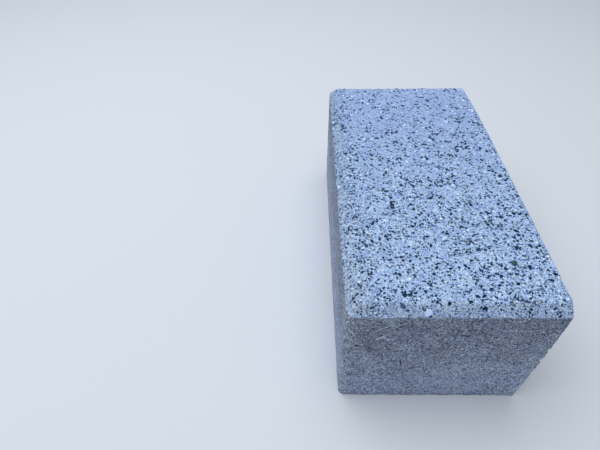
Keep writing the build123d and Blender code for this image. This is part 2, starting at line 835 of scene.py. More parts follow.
@dataclass(frozen=True)
class WallMark:
    """A mark on the front wall, by the pixel its middle is seen at.

    Its length and thickness are in millimetres, its tilt in degrees up to the right. Its tone runs
    from -1, a dent painted dark as shade, to 1, a pale scrape.
    """

    seen_at: Pixel
    length: float
    thickness: float
    tilt: float
    tone: float


WALL_MARKS = (
    WallMark((381.0, 338.0), 7.2, 1.0, 40, 0.9),
    WallMark((386.5, 327.6), 9.8, 0.8, 34, 0.5),
    WallMark((357.0, 345.8), 2.4, 1.4, 0, -1.0),
    WallMark((355.5, 348.2), 3.4, 1.0, 0, 0.8),
    WallMark((357.5, 351.2), 3.2, 1.0, 24, 0.7),
    WallMark((365.4, 358.2), 3.4, 1.0, -48, 0.8),
    WallMark((388.0, 339.6), 1.8, 1.3, 0, 0.8),
    WallMark((394.5, 339.0), 2.2, 1.0, 30, 0.6),
    WallMark((397.0, 329.5), 1.2, 2.2, 0, -0.9),
    WallMark((422.6, 346.6), 1.2, 1.8, 0, -0.9),
    WallMark((400.6, 363.0), 6.9, 0.8, -80, -0.9),
    WallMark((348.3, 374.8), 1.3, 2.0, 0, -0.8),
    WallMark((430.0, 376.0), 2.0, 1.1, -40, -0.7),
    WallMark((431.5, 356.0), 3.6, 0.8, 34, 0.5),
    WallMark((420.0, 364.6), 3.0, 0.8, 10, 0.4),
    WallMark((467.5, 336.2), 4.4, 1.2, 0, -1.0),
    WallMark((456.0, 335.6), 6.0, 0.9, 5, -0.5),
    WallMark((496.0, 338.0), 2.2, 1.2, 0, -0.8),
    WallMark((518.0, 331.2), 17.0, 0.8, 0, 0.5),
    WallMark((487.6, 360.0), 1.5, 1.8, 0, -0.7),
    WallMark((508.0, 373.5), 1.8, 1.3, 0, -0.6),
    WallMark((514.0, 378.0), 3.2, 1.8, 0, -0.5),
    WallMark((493.0, 388.6), 1.6, 1.4, 0, -0.6),
    WallMark((388.0, 374.0), 2.4, 1.0, 0, -0.5),
    WallMark((516.0, 388.5), 19.0, 3.0, 62, 0.3),
    WallMark((363.0, 350.0), 13.0, 7.0, 0, -0.2),
)


@dataclass(frozen=True)
class MouldedSkin:
    """The walls: grey cement skin as it leaves the mould, with pits, drag marks and a finer top course.

    Sizes and places are in millimetres. Left and front are those walls' own places, and the corner lies
    between them. A pair that ends in up gives the heights at which something starts and is full.
    """

    left: float
    front: float
    shadow: Colour = (0.037, 0.051, 0.098)
    ground: Colour = (0.287, 0.365, 0.614)
    bloom: Colour = (0.680, 0.800, 0.945)
    lapped: Colour = (0.390, 0.530, 0.820)
    # Dark drag streaks and crumbs, and the painted shade in pits and dented marks
    dark_streak_and_pit_shade: Colour = (0.025, 0.034, 0.060)
    sand: float = 0.32
    sand_ragged: float = 0.3
    ground_tones: tuple[float, float] = (0.24, 0.51)
    bloom_tones: tuple[float, float] = (0.50, 0.76)
    grit: float = 1.1
    patch: float = 9.0
    cloud_share: float = 0.12
    drawn: tuple[float, float, float] = (0.85, 0.85, 1.1)
    calm_up: tuple[float, float] = (50.0, 8.0)
    calm_cloud: float = 16.0
    calm_wander: float = 12.0
    calm_swing: float = 0.75
    # Heights, clouds and share of the painted shade that darkens the wall higher up
    wall_shade_up: tuple[float, float] = (12.0, 62.0)
    wall_shade_cloud: float = 22.0
    wall_shade_wander: float = 14.0
    wall_shade_share: float = 0.36
    corner_across: tuple[float, float] = (9.5, 5.5)
    corner_along: tuple[float, float] = (14.0, 5.0)
    corner_fray: float = 4.0
    # Heights and share of the painted highlight on the front left corner
    highlight_up: tuple[float, float] = (30.0, 55.0)
    tint_and_highlight_share: float = 0.10
    drag_up: tuple[float, float] = (25.0, 60.0)
    drag_share: tuple[float, float] = (0.1, 0.45)
    drag_length: float = 4.5
    drag_width: float = 0.8
    pale_slope: float = 0.25
    dark_slope: float = 0.08
    crumbs: Grading = Grading(1.0, fill=0.46, ragged=0.7, share=0.9)
    crumbs_up: tuple[float, float] = (30.0, 50.0)
    crumbs_share: tuple[float, float] = (0.6, 1.0)
    pits: Grading = Grading(1.4, fill=0.36, ragged=0.7, share=0.34)
    pit_share: float = 0.75
    pale_above: float = 0.55
    mark_depth: float = 2.0
    mark_ragged: float = 0.7
    scrape_lift: float = 0.5
    drag_lift: float = 0.5
    dent_depth: float = 1.5
    arris: float = 75.0
    arris_blur: float = 0.4
    lap: float = 1.8
    lap_wander: tuple[float, float] = (-0.9, 0.7)
    roughness: float = 0.8
    relief: float = 0.30

    def ground_tone(self, sheet: FinishSheet) -> Socket:
        """Makes the skin's own tone: sand at its finest, grit and broad clouds, calmer towards the foot.

        Args:
            sheet: The finish's nodes.

        Returns:
            The tone, around a half.
        """
        drawn = sheet.vectors("MULTIPLY", sheet.place, self.drawn)
        sand = sheet.packed(self.sand, self.sand_ragged, drawn)["Tone"]
        tone = sheet.product(sand, 1 - 2 * self.cloud_share)
        for size in (self.grit, self.patch):
            clouds = sheet.ramp(sheet.noise(drawn, size, 3.0), *SOFT_SPREAD)
            tone = sheet.total(tone, sheet.product(clouds, self.cloud_share))
        wander = sheet.wander(self.calm_cloud, -self.calm_wander, self.calm_wander)
        calm = sheet.ramp(sheet.total(sheet.z, wander), *self.calm_up)
        swing = sheet.ramp(calm, 0.0, 1.0, 1.0, self.calm_swing)
        return sheet.total(sheet.product(sheet.calc("SUBTRACT", tone, 0.5), swing), 0.5)

    def at_corner(self, sheet: FinishSheet, tone: Socket) -> Socket:
        """Makes a mask of the upright front left corner.

        Args:
            sheet: The finish's nodes.
            tone: The skin's tone, which frays the mask's edge.

        Returns:
            The mask's socket.
        """
        frayed = sheet.total(sheet.x, sheet.product(tone, self.corner_fray))
        beside = sheet.ramp(frayed, *(self.left + reach for reach in self.corner_across))
        near = sheet.ramp(sheet.y, *(self.front + reach for reach in self.corner_along))
        return sheet.product(beside, near)

    def marked(self, sheet: FinishSheet, colour: Socket, dents: Socket) -> tuple[Socket, Socket]:
        """Adds the front wall's marks.

        Args:
            sheet: The finish's nodes.
            colour: The wall's colour.
            dents: How deep the wall is dented.

        Returns:
            The colour and the dents with the marks.
        """
        for mark in WALL_MARKS:
            centre = PHOTOGRAPH.at_station(mark.seen_at, self.front)
            reach = (mark.length / 2, self.mark_depth, mark.thickness / 2)
            spot = sheet.mark(centre, reach, self.mark_ragged, mark.tilt)
            share = sheet.product(spot, abs(mark.tone))
            # Dark marks are dents painted dark as shade, pale ones are scrapes
            tint, dent = (self.bloom, -self.scrape_lift) if mark.tone > 0 else (self.dark_streak_and_pit_shade, 1.0)
            colour = sheet.blend(share, colour, tint)
            dents = sheet.total(dents, sheet.product(share, dent))
        return colour, dents

    def material(self, effects: Effects) -> bpy.types.Material:
        """Builds the finish.

        Args:
            effects: The shared surface effects.

        Returns:
            The material.
        """
        sheet = FinishSheet("moulded_skin", effects)
        tone = self.ground_tone(sheet)
        colour = sheet.blend(sheet.ramp(tone, *self.ground_tones), self.shadow, self.ground)
        colour = sheet.blend(sheet.ramp(tone, *self.bloom_tones), colour, self.bloom)

        # Painted shade darkens the skin higher up, in clouds, since the foot gets more light bounced up from
        # below, and a painted highlight pales the corner
        wander = sheet.wander(self.wall_shade_cloud, -self.wall_shade_wander, self.wall_shade_wander, 3.0)
        wall_shade = sheet.ramp(sheet.total(sheet.z, wander), *self.wall_shade_up, 0.0, self.wall_shade_share)
        colour = sheet.blend(wall_shade, colour, self.shadow)
        corner = self.at_corner(sheet, tone)
        # A painted highlight pales the front left corner, more so higher up
        tint_and_highlight = sheet.ramp(sheet.z, *self.highlight_up, 0.0, self.tint_and_highlight_share)
        colour = sheet.blend(sheet.product(corner, tint_and_highlight), colour, self.bloom)

        # The mould's drag marks, stronger higher up
        upper = sheet.ramp(sheet.z, *self.drag_up, *self.drag_share)
        drag = {"Place": sheet.place, "Length": self.drag_length, "Width": self.drag_width}
        pale_drag = use_group(sheet, effects.streaks, Slope=self.pale_slope, **drag)["Mask"]
        dark_drag = use_group(sheet, effects.streaks, Slope=self.dark_slope, **drag)["Mask"]
        colour = sheet.blend(sheet.product(pale_drag, upper), colour, self.bloom)
        colour = sheet.blend(sheet.product(dark_drag, upper), colour, self.dark_streak_and_pit_shade)

        # Crumbs at the corner, pits all over, and the marks seen on the front; dark pits and dark marks are
        # painted shade in their dents
        crumbs, pits = sheet.grains(self.crumbs), sheet.grains(self.pits)
        pale_crumb, pale_pit = (
            sheet.calc("GREATER_THAN", spots["Tone"], self.pale_above) for spots in (crumbs, pits)
        )
        upper = sheet.ramp(sheet.z, *self.crumbs_up, *self.crumbs_share)
        crumb_share = sheet.product(corner, crumbs["Mask"], upper)
        colour = sheet.blend(crumb_share, colour, sheet.blend(pale_crumb, self.dark_streak_and_pit_shade, self.bloom))
        pit_share = sheet.product(pits["Mask"], self.pit_share)
        colour = sheet.blend(pit_share, colour, sheet.blend(pale_pit, self.dark_streak_and_pit_shade, self.bloom))
        dents = sheet.product(pits["Mask"], sheet.rest(pale_pit))
        colour, dents = self.marked(sheet, colour, dents)

        # The finer top course laps down over the arris
        level = sheet.total(sheet.z, sheet.wander(self.lap, *self.lap_wander))
        lapping = sheet.ramp(level, self.arris - self.arris_blur, self.arris)
        colour = sheet.blend(lapping, colour, self.lapped)
        sheet.set_matte(self.roughness)
        raised, sunk = sheet.product(pale_drag, self.drag_lift), sheet.product(dents, -self.dent_depth)
        height = sheet.total(tone, raised, sunk)
        return sheet.finished(colour, height, self.relief)


@dataclass(frozen=True)
class OpenConcrete:
    """The parted side and the bed: open grey concrete with its coarser grains showing.

    Sizes are in millimetres. Each grading of stones comes with how far it stands up.
    """

    name: str
    relief: float = 0.5
    shadow: Colour = (0.085, 0.110, 0.165)
    ground: Colour = (0.290, 0.360, 0.510)
    stone: Colour = (0.430, 0.520, 0.700)
    dark_and_hole_shade: Colour = (0.060, 0.080, 0.125)
    sand: float = 0.6
    sand_ragged: float = 0.5
    crumb: float = 3.0
    patch: float = 18.0
    sand_share: float = 0.42
    crumb_share: float = 0.40
    patch_share: float = 0.18
    tones: tuple[float, float] = (0.18, 0.72)
    stones: tuple[tuple[Grading, float], ...] = (
        (Grading(2.4, fill=0.40, ragged=0.7, share=0.45), 0.25),
        (Grading(5.5, fill=0.46, ragged=0.7, share=0.40), 0.5),
    )
    stone_share: float = 0.8
    mottled_share: float = 0.5
    holes: Grading = Grading(3.1, fill=0.26, ragged=0.9, share=0.25)
    hole_share: float = 0.85
    hole_depth: float = 0.8
    roughness: float = 0.9

    def material(self, effects: Effects) -> bpy.types.Material:
        """Builds the finish.

        Args:
            effects: The shared surface effects.

        Returns:
            The material.
        """
        sheet = FinishSheet(self.name, effects)
        sand = sheet.packed(self.sand, self.sand_ragged)["Tone"]
        crumbs = sheet.ramp(sheet.noise(sheet.place, self.crumb, 5.0), *SOFT_SPREAD)
        broad = sheet.ramp(sheet.noise(sheet.place, self.patch), *FIRM_SPREAD)
        shared = ((sand, self.sand_share), (crumbs, self.crumb_share), (broad, self.patch_share))
        tone = sheet.total(*(sheet.product(pattern, share) for pattern, share in shared))
        colour = sheet.blend(sheet.ramp(tone, *self.tones), self.shadow, self.ground)
        height = tone
        for grading, lift in self.stones:
            stones = sheet.grains(grading)
            tint = sheet.blend(stones["Tone"], self.dark_and_hole_shade, self.stone)
            mottled = sheet.blend(sheet.product(crumbs, self.mottled_share), tint, self.ground)
            colour = sheet.blend(sheet.product(stones["Mask"], self.stone_share), colour, mottled)
            height = sheet.total(height, sheet.product(stones["Mask"], lift))
        # Holes are sunk and painted dark as shade
        holes = sheet.grains(self.holes)["Mask"]
        colour = sheet.blend(sheet.product(holes, self.hole_share), colour, self.dark_and_hole_shade)
        sheet.set_matte(self.roughness)
        height = sheet.total(height, sheet.product(holes, -self.hole_depth))
        return sheet.finished(colour, height, self.relief)


@dataclass(frozen=True)
class GrainFinish:
    """The finish of one kind of grain, from its darkest chips to its palest. Sizes are in millimetres.

    Its paling is how far the grains at the back end take up the colour of the sand round them.
    """

    name: str
    deep: Colour
    pale: Colour
    roughness: float = 0.6
    paling: float = 0.0
    sand: Colour = (0.240, 0.440, 0.860)
    paling_stations: tuple[float, float] = (-20.0, 98.0)
    fleck: float = 0.8
    fleck_share: float = 0.3
    gloss: float = 0.06
    pore: float = 0.5
    relief: float = 0.12

    def material(self) -> bpy.types.Material:
        """Builds the finish, in which each chip has its own shade and a faint fleck of its own.

        Returns:
            The material.
        """
        sheet = FinishSheet(self.name)
        chip = {"attribute_name": "shade", "attribute_type": "GEOMETRY"}
        own = sheet.get("ShaderNodeAttribute", output="Fac", **chip)
        fleck = sheet.ramp(sheet.noise(sheet.place, self.fleck), *FIRM_SPREAD)
        share = sheet.total(sheet.product(own, 1 - self.fleck_share), sheet.product(fleck, self.fleck_share))
        paled = sheet.ramp(sheet.y, *self.paling_stations, 0.0, self.paling)
        colour = sheet.blend(paled, sheet.blend(share, self.deep, self.pale), self.sand)
        sheet.set_matte(self.roughness, self.gloss)
        return sheet.finished(colour, sheet.noise(sheet.place, self.pore), self.relief)


# The stone's block


class Region(Enum):
    """The parts of the stone's surface that have a finish of their own."""

    FACE = 0
    WALL = 1
    PARTED = 2
    BED = 3


@dataclass(frozen=True)
class Notch:
    """A bite out of the parted side's front arris, by its pixel and its reach in millimetres."""

    seen_at: Pixel
    reach: float


PARTED_NOTCHES = (Notch((549, 351), 0.9), Notch((540, 361), 1.1))

# How many points describe half of a rounded corner, and the parted side
CORNER_POINTS = 7
SIDE_POINTS = 60

# How many times as large the bed's cells are as the rest
BED_STEP = 3


@dataclass(frozen=True)
class Grid:
    """A grid of cells. Its outer loop of points runs anticlockwise from its front left corner."""

    across: int
    along: int

    def fill(self, loop: np.ndarray) -> np.ndarray:
        """Fills a loop with the grid's points.

        Args:
            loop: The outer loop's points.

        Returns:
            Points as along + 1 rows by across + 1 columns by three.
        """
        across, along = self.across, self.along
        closed = np.vstack([loop, loop[:1]])
        front = closed[: across + 1]
        right = closed[across : across + along + 1]
        back = closed[across + along : 2 * across + along + 1][::-1]
        left = closed[2 * across + along :][::-1]
        u = np.linspace(0, 1, across + 1)[None, :, None]
        v = np.linspace(0, 1, along + 1)[:, None, None]
        ruled = (1 - v) * front[None] + v * back[None] + (1 - u) * left[:, None] + u * right[:, None]
        near = (1 - u) * front[0] + u * front[-1]
        far = (1 - u) * back[0] + u * back[-1]
        return ruled - (1 - v) * near - v * far

    def on_loop(self, row: int, column: int) -> int | None:
        """Finds a point's place on the outer loop.

        Args:
            row: The point's row.
            column: The point's column.

        Returns:
            The place on the loop, or None inside the grid.
        """
        if row == 0:
            return column
        if column == self.across:
            return self.across + row
        if row == self.along:
            return 2 * self.across + self.along - column
        if column == 0:
            return 2 * (self.across + self.along) - row
        return None


class MeshSketch:
    """A mesh in the making, in millimetres, with a region for each face."""

    def __init__(self, points: np.ndarray) -> None:
        """Starts with the points that are there already.

        Args:
            points: Those points, one a row.
        """
        self.points = list(points)
        self.faces: list[tuple[int, ...]] = []
        self.regions: list[int] = []

    def add_face(self, corners: tuple[int, ...], region: Region) -> None:
        """Adds one face of a region."""
        self.faces.append(corners)
        self.regions.append(region.value)

    def add_grid(self, loop: np.ndarray, grid: Grid, first: int | None, region: Region) -> list[int]:
        """Adds a grid of faces inside a loop.

        Args:
            loop: The loop's points.
            grid: The grid.
            first: The number of the loop's first point, or None where the loop has to be added.
            region: The region of the grid's faces.

        Returns:
            The numbers of the points on the loop.
        """
        filled = grid.fill(loop)
        index = np.zeros(filled.shape[:2], dtype=int)
        outer = [0] * len(loop)
        for row, column in np.ndindex(*index.shape):
            place = grid.on_loop(row, column)
            if place is None or first is None:
                index[row, column] = len(self.points)
                self.points.append(filled[row, column])
            else:
                index[row, column] = first + place
            if place is not None:
                outer[place] = int(index[row, column])
        for row, column in np.ndindex(grid.along, grid.across):
            low, high = index[row, column : column + 2], index[row + 1, column : column + 2]
            quad = (int(low[0]), int(low[1]), int(high[1]), int(high[0]))
            self.add_face(quad if region is Region.FACE else quad[::-1], region)
        return outer


@dataclass
class StoneBlock:
    """The block itself: a closed mesh with a chamfer on three sides, worn and pitted by a geometry tree.

    Sizes are in millimetres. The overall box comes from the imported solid.
    """

    low: Vector
    high: Vector
    chamfer: float = 5.0
    mould_corner: float = 4.0
    face_corner: float = 1.5
    spacing: float = 0.85
    wall_rows: int = 62
    chamfer_rows: int = 8
    face_relief: float = 0.30
    wall_relief: float = 0.14
    parted_relief: float = 1.2
    bed_relief: float = 0.2
    finishes: dict[Region, bpy.types.Material] = field(default_factory=dict)

    def __post_init__(self) -> None:
        """Works out how many cells the block has across and along, which the bed's cells share evenly."""
        size = self.high - self.low
        self.across = BED_STEP * round(size.x / self.spacing / BED_STEP)
        self.along = BED_STEP * round(size.y / self.spacing / BED_STEP)
        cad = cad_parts[STONE_NODE].data
        corners = [v.co / MM for v in cad.vertices]
        self.shell = BVHTree.FromPolygons(corners, [tuple(p.vertices) for p in cad.polygons])

    def parted_side(self, y: float, z: float) -> float:
        """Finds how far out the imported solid's parted side is.

        Args:
            y: Place along the stone.
            z: Height above the bed.

        Returns:
            The side's place across the stone.
        """
        tiny, clear = 0.02, 10
        level = min(max(z, tiny), self.high.z - tiny)
        end = tiny + max(0.0, level - (self.high.z - self.chamfer))
        station = min(max(y, self.low.y + end), self.high.y - end)
        outside = Vector((self.high.x + clear, station, level))
        return self.shell.ray_cast(outside, Vector((-1, 0, 0)))[0].x

    @staticmethod
    def evenly(points: list[tuple[float, float]], cells: int) -> np.ndarray:
        """Spreads places evenly along a line of points.

        Args:
            points: The line's corners, as pairs.
            cells: How many steps the result has.

        Returns:
            An array of cells + 1 pairs.
        """
        line = np.array(points)
        steps = np.hypot(*np.diff(line, axis=0).T)
        run = np.concatenate([[0], np.cumsum(steps)])
        stations = np.linspace(0, run[-1], cells + 1)
        return np.stack([np.interp(stations, run, line[:, axis]) for axis in (0, 1)], axis=1)

    @staticmethod
    def half_corner(centre: tuple[float, float], radius: float, start: float, end: float) -> list:
        """Gives points on half of a rounded corner.

        Args:
            centre: The corner's centre.
            radius: The corner's radius.
            start: The angle of the first point, in degrees.
            end: The angle of the last point, in degrees.

        Returns:
            A list of pairs.
        """
        angles = np.radians(np.linspace(start, end, CORNER_POINTS))
        return [(centre[0] + radius * math.cos(a), centre[1] + radius * math.sin(a)) for a in angles]

    def sides(self, z: float, inset: float) -> list[np.ndarray]:
        """Gives the four sides of the outline at one level, each from one corner to the next.

        Args:
            z: Height above the bed.
            inset: How far the moulded sides stand in at this level.

        Returns:
            The front, the parted side, the back and the moulded long side, anticlockwise from above.
        """
        radius = self.mould_corner + (self.face_corner - self.mould_corner) * inset / self.chamfer
        left, front, back = self.low.x + inset, self.low.y + inset, self.high.y - inset
        near, far = (left + radius, front + radius), (left + radius, back - radius)
        parted = [(self.parted_side(y, z), y) for y in np.linspace(front, back, SIDE_POINTS)]
        front_line = self.half_corner(near, radius, 225, 270) + [parted[0]]
        back_line = [parted[-1]] + self.half_corner(far, radius, 90, 135)
        left_line = self.half_corner(far, radius, 135, 180) + self.half_corner(near, radius, 180, 225)
        lines = (front_line, parted, back_line, left_line)
        cells = (self.across, self.along, self.across, self.along)
        return [self.evenly(line, count) for line, count in zip(lines, cells)]

    def rings(self) -> np.ndarray:
        """Finds every ring's points, from the bed up.

        Returns:
            Points as rings by points by three.
        """
        shoulder = self.high.z - self.chamfer
        levels = [(z, 0.0) for z in np.linspace(0, shoulder, self.wall_rows + 1)]
        levels += [(shoulder + s, s) for s in np.linspace(0, self.chamfer, self.chamfer_rows + 1)[1:]]
        rings = []
        for z, inset in levels:
            loop = np.concatenate([side[:-1] for side in self.sides(z, inset)])
            rings.append(np.column_stack([loop, np.full(len(loop), z)]))
        return np.array(rings)

    def build(self) -> bpy.types.Mesh:
        """Builds the closed mesh, with a region number on each face and wear values on each point.

        Returns:
            The mesh.
        """
        rings = self.rings()
        count = rings.shape[1]
        sketch = MeshSketch(rings.reshape(-1, 3))
        for ring in range(len(rings) - 1):
            lower, upper = ring * count, (ring + 1) * count
            side = Region.FACE if ring >= self.wall_rows else Region.WALL
            for place in range(count):
                following = (place + 1) % count
                corners = (lower + place, lower + following, upper + following, upper + place)
                parted = self.across <= place < self.across + self.along
                sketch.add_face(corners, Region.PARTED if parted else side)
        top = (len(rings) - 1) * count
        sketch.add_grid(rings[-1], Grid(self.across, self.along), top, Region.FACE)
        self.add_bed(sketch, rings[0])
        mesh = bpy.data.meshes.new("stone_block")
        mesh.from_pydata((np.array(sketch.points) * MM).tolist(), [], sketch.faces)
        mesh.polygons.foreach_set("material_index", sketch.regions)
        self.mark_wear(mesh)
        mesh.update()
        return mesh

    def add_bed(self, sketch: MeshSketch, foot: np.ndarray) -> None:
        """Adds the bed, a coarser grid inside a strip of fans.

        Args:
            sketch: The mesh in the making, which starts with the foot's points.
            foot: The points of the lowest ring.
        """
        middle = (foot.min(axis=0) + foot.max(axis=0)) / 2
        half = (foot.max(axis=0) - foot.min(axis=0))[:2] / 2
        inner = foot[::BED_STEP].copy()
        inner[:, :2] = middle[:2] + (inner[:, :2] - middle[:2]) * (1 - BED_STEP * self.spacing / half)
        grid = Grid(self.across // BED_STEP, self.along // BED_STEP)
        loop = sketch.add_grid(inner, grid, None, Region.BED)
        for step, here in enumerate(loop):
            following = loop[(step + 1) % len(loop)]
            a, b, c, d = ((BED_STEP * step + k) % len(foot) for k in range(BED_STEP + 1))
            for corners in ((here, b, a), (here, following, c, b), (following, d, c)):
                sketch.add_face(corners, Region.BED)

    def mark_wear(self, mesh: bpy.types.Mesh) -> None:
        """Stores on each point where it is and how strongly its arris is worn.

        Args:
            mesh: The block's mesh.
        """
        flush, near_parted, unreached = 0.05, 0.1, 50.0
        chamfer_start, slant = 0.3, 1.4
        rim_width, least_parted = 8.0, 0.08
        notch_width = 0.6
        place = np.zeros(len(mesh.vertices) * 3)
        mesh.vertices.foreach_get("co", place)
        x, y, z = (place.reshape(-1, 3) / MM).T
        shoulder = self.high.z - self.chamfer
        rise = np.clip(z - shoulder, 0, self.chamfer)
        from_parted = np.array([self.parted_side(b, c) for b, c in zip(y, z)]) - x
        from_mould = np.minimum.reduce([x - self.low.x, y - self.low.y, self.high.y - y]) - rise
        from_ends = np.minimum(y - self.low.y, self.high.y - y)
        from_top = self.high.z - z
        on_top, on_bed = from_top < flush, z < flush
        on_parted = from_parted < near_parted
        on_mould = ~on_top & ~on_bed & ~on_parted
        far = np.full_like(x, unreached)
        upper = np.where(on_mould, from_top * slant, np.where(on_top, from_mould, far))
        lower = np.where(on_bed, np.minimum(from_mould, from_parted), z)

        # For each arris the depth of its wear, how far that reaches, and each point's distance from it
        edges = (
            (0.55, 1.0, upper),
            (0.30, 0.6, np.where(on_mould, np.abs(z - shoulder), far)),
            (0.20, 0.8, np.where(on_parted, np.minimum(from_ends, from_top), far)),
            (0.20, 0.8, np.where(on_mould, from_parted, far)),
            (0.60, 1.2, lower),
        )
        arris = np.maximum.reduce([depth * np.exp(-distance / reach) for depth, reach, distance in edges])
        rim = np.minimum.reduce([from_top, from_ends, z])
        notch = np.zeros_like(x)
        for bite in PARTED_NOTCHES:
            centre = PHOTOGRAPH.at_station(bite.seen_at, self.low.y)
            spread = np.hypot((x - centre.x) * notch_width, np.hypot(y - centre.y, z - centre.z))
            notch = np.maximum(notch, np.exp(-((spread / bite.reach) ** 2)))
        values = {
            "arris": arris,
            "face": (rise > chamfer_start) & ~on_parted,
            "parted": np.where(on_parted, np.clip(rim / rim_width, least_parted, 1.0), 0.0),
            "bed": on_bed,
            "notch": notch,
        }
        for name, numbers in values.items():
            attribute = mesh.attributes.new(name, "FLOAT", "POINT")
            attribute.data.foreach_set("value", numbers.astype(np.float32))

    def piece(self) -> bpy.types.Object:
        """Builds the worn block, dressed and riding on the stone's body.

        Returns:
            The finished piece.
        """
        block = bpy.data.objects.new("stone_block", self.build())
        bpy.context.scene.collection.objects.link(block)
        for region in Region:
            block.data.materials.append(self.finishes[region])
        reliefs = (self.face_relief, self.wall_relief, self.parted_relief, self.bed_relief)
        shape_with(block, wear_tree(), dict(zip(RELIEFS, reliefs)))
        for polygon in block.data.polygons:
            polygon.use_smooth = True
        settle(block)
        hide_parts(STONE_NODE)
        return block


# The wear tree's inputs, in millimetres
RELIEFS = ("Face relief", "Wall relief", "Parted relief", "Bed relief")


def wear_tree() -> bpy.types.NodeTree:
    """Builds the geometry tree that wears a smooth block: a blasted face, a pitted wall, chipped arrises.

    Returns:
        A tree that takes the reliefs in millimetres, and only ever moves the surface inwards.
    """
    swell, grit, drag, lump, crumb, bite = 11.0, 2.0, 9.0, 9.0, 3.2, 5.0
    drag_flattened = (1.0, 1.0, 3.5)
    broad_share, grit_share = 0.5, 0.6
    crumb_depth, notch_depth = 0.4, 1.1
    grit_spread, ridge_spread, lump_spread, bed_spread = (0.62, 0.36), (0.35, 0.65), (0.65, 0.3), (0.5, 0.8)
    bite_spread, bite_depths = (0.40, 0.70), (0.25, 1.0)
    takes = {"Geometry": Kind.GEOMETRY, **{name: Kind.NUMBER for name in RELIEFS}}
    group, sheet, inside, outside = new_geometry_tree("wear", takes)
    place = sheet.scaled(sheet.get("GeometryNodeInputPosition"), 1 / MM)
    arris, face, parted, bed, notch = map(sheet.stored, ("arris", "face", "parted", "bed", "notch"))
    broad = sheet.noise(place, swell, 1.0)
    granular = sheet.ramp(sheet.noise(place, grit, 2.0), *grit_spread)
    blasted = sheet.total(sheet.product(broad, broad_share), granular)
    on_face = sheet.product(inside["Face relief"], face, blasted)
    drawn = sheet.noise(sheet.vectors("MULTIPLY", place, drag_flattened), drag)
    ridged = sheet.total(sheet.ramp(drawn, *ridge_spread), sheet.product(granular, grit_share))
    on_wall = sheet.product(inside["Wall relief"], sheet.rest(face), sheet.rest(bed), ridged)
    lumps = sheet.ramp(sheet.noise(place, lump, 3.0), *lump_spread)
    crumbs = sheet.ramp(sheet.noise(place, crumb, 2.0), *grit_spread, 0.0, crumb_depth)
    on_parted = sheet.product(inside["Parted relief"], parted, sheet.total(lumps, crumbs))
    on_bed = sheet.product(inside["Bed relief"], bed, sheet.ramp(broad, *bed_spread))
    bites = sheet.ramp(sheet.noise(place, bite, 3.0), *bite_spread, *bite_depths)
    chipped = (sheet.product(arris, bites), sheet.product(notch, notch_depth))
    depth = sheet.total(on_face, on_wall, on_parted, on_bed, *chipped)
    offset = sheet.scaled(sheet.get("GeometryNodeInputNormal"), sheet.product(depth, -MM))
    moved = sheet.get("GeometryNodeSetPosition", {"Geometry": inside["Geometry"], "Offset": offset})
    sheet.feed(outside, "Geometry", moved)
    return group


def shape_with(piece: bpy.types.Object, tree: bpy.types.NodeTree, values: dict[str, object]) -> None:
    """Runs a geometry tree on a piece and keeps the result as its plain mesh.

    Args:
        piece: The object whose mesh goes in, and then holds what comes out.
        tree: The geometry tree.
        values: The tree's inputs by name.
    """
    identifiers = {s.name: s.identifier for s in tree.interface.items_tree if s.in_out == "INPUT"}
    modifier = piece.modifiers.new("shaping", "NODES")
    modifier.node_group = tree
    for name, value in values.items():
        modifier[identifiers[name]] = value
    evaluated = piece.evaluated_get(bpy.context.evaluated_depsgraph_get())
    result = bpy.data.meshes.new_from_object(evaluated)
    piece.modifiers.remove(modifier)
    old = piece.data
    piece.data = result
    bpy.data.meshes.remove(old)
    result.name = piece.name


def settle(piece: bpy.types.Object) -> None:
    """Makes a finished piece ride on the stone's body.

    Args:
        piece: The finished piece.
    """
    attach(piece, "root")


# Grains in the wearing face

# What keeps grains flush with the solid, and what every tree of chips takes
LIMITS = {"Low": Kind.VECTOR, "High": Kind.VECTOR, "Chamfer": Kind.NUMBER}
CHIP_TAKES = {
    "Seed": Kind.WHOLE,
    "Facets": Kind.WHOLE,
    "Ragged": Kind.NUMBER,
    **LIMITS,
    "Finish": Kind.MATERIAL,
}

# The ways in which the chamfers face, without their rise
CHAMFER_WAYS = ((-1, 0, 0), (0, -1, 0), (0, 1, 0))


def inside_group() -> bpy.types.NodeTree:
    """Builds the cut that keeps grains flush with the solid's flat sides and chamfers.

    Returns:
        A group that takes Place, Low, High and Chamfer in metres, and gives Place.
    """
    each_way = 0.5
    takes = {"Place": Kind.VECTOR, **LIMITS}
    gives = {"Place": Kind.VECTOR}
    group, sheet, inside, outside = new_group("keep_inside", "GeometryNodeTree", takes, gives)
    low, high = inside["Low"], inside["High"]
    place = sheet.vectors("MAXIMUM", sheet.vectors("MINIMUM", inside["Place"], high), low)
    shoulder = sheet.calc("SUBTRACT", sheet.parts(high)[2], inside["Chamfer"])
    for outward in CHAMFER_WAYS:
        corner = high if sum(outward) > 0 else low
        slope = (outward[0], outward[1], 1)
        reach = sheet.total(shoulder, sheet.along(corner, outward))
        here = sheet.along(place, slope)
        excess = sheet.calc("MAXIMUM", sheet.calc("SUBTRACT", here, reach), 0.0)
        step = sheet.get("ShaderNodeCombineXYZ", dict(zip("XYZ", slope)))
        place = sheet.vectors("SUBTRACT", place, sheet.scaled(step, sheet.product(excess, each_way)))
    sheet.feed(outside, "Place", place)
    return group


